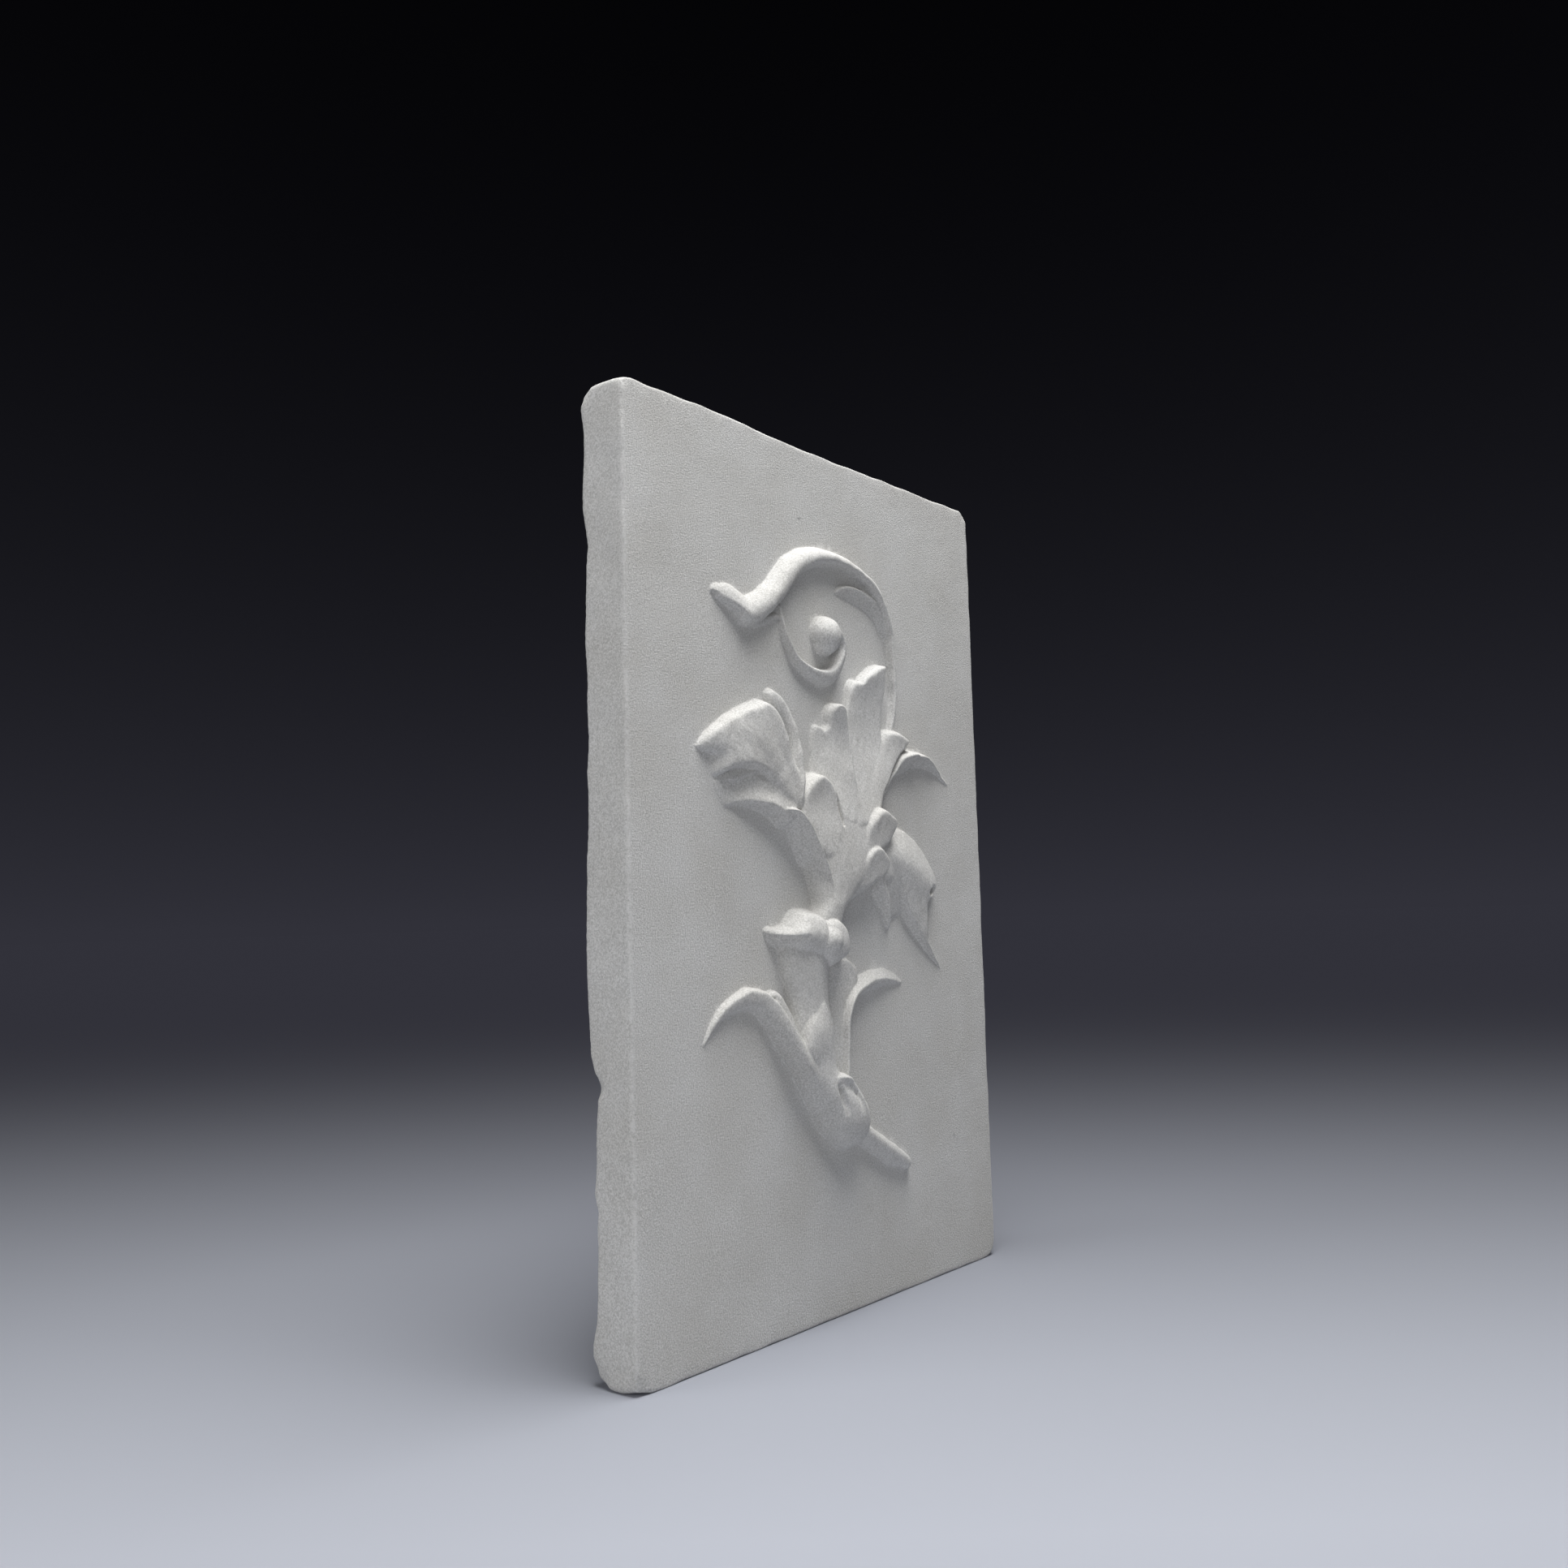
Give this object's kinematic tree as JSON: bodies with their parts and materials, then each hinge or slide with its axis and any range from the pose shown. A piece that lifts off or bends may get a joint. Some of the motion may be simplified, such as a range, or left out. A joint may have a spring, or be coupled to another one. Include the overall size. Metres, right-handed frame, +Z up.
{
  "type": "plaster bas-relief",
  "caption": "Upright rectangular plaster slab with an acanthus scroll ornament cast in relief on its face.",
  "frame": {"origin": "middle of the slab's flat underside, halfway between face and back and halfway between the sides", "axes": "+Z up along the slab's height; the relief faces -Y; +X to the right as one looks at the face"},
  "size_m": [0.4, 0.062, 0.6],
  "materials": {
    "plaster": "matt cast plaster, fine grained and slightly soiled"
  },
  "bodies": {
    "root": {"relief_panel": "plaster"}
  },
  "joints": []
}
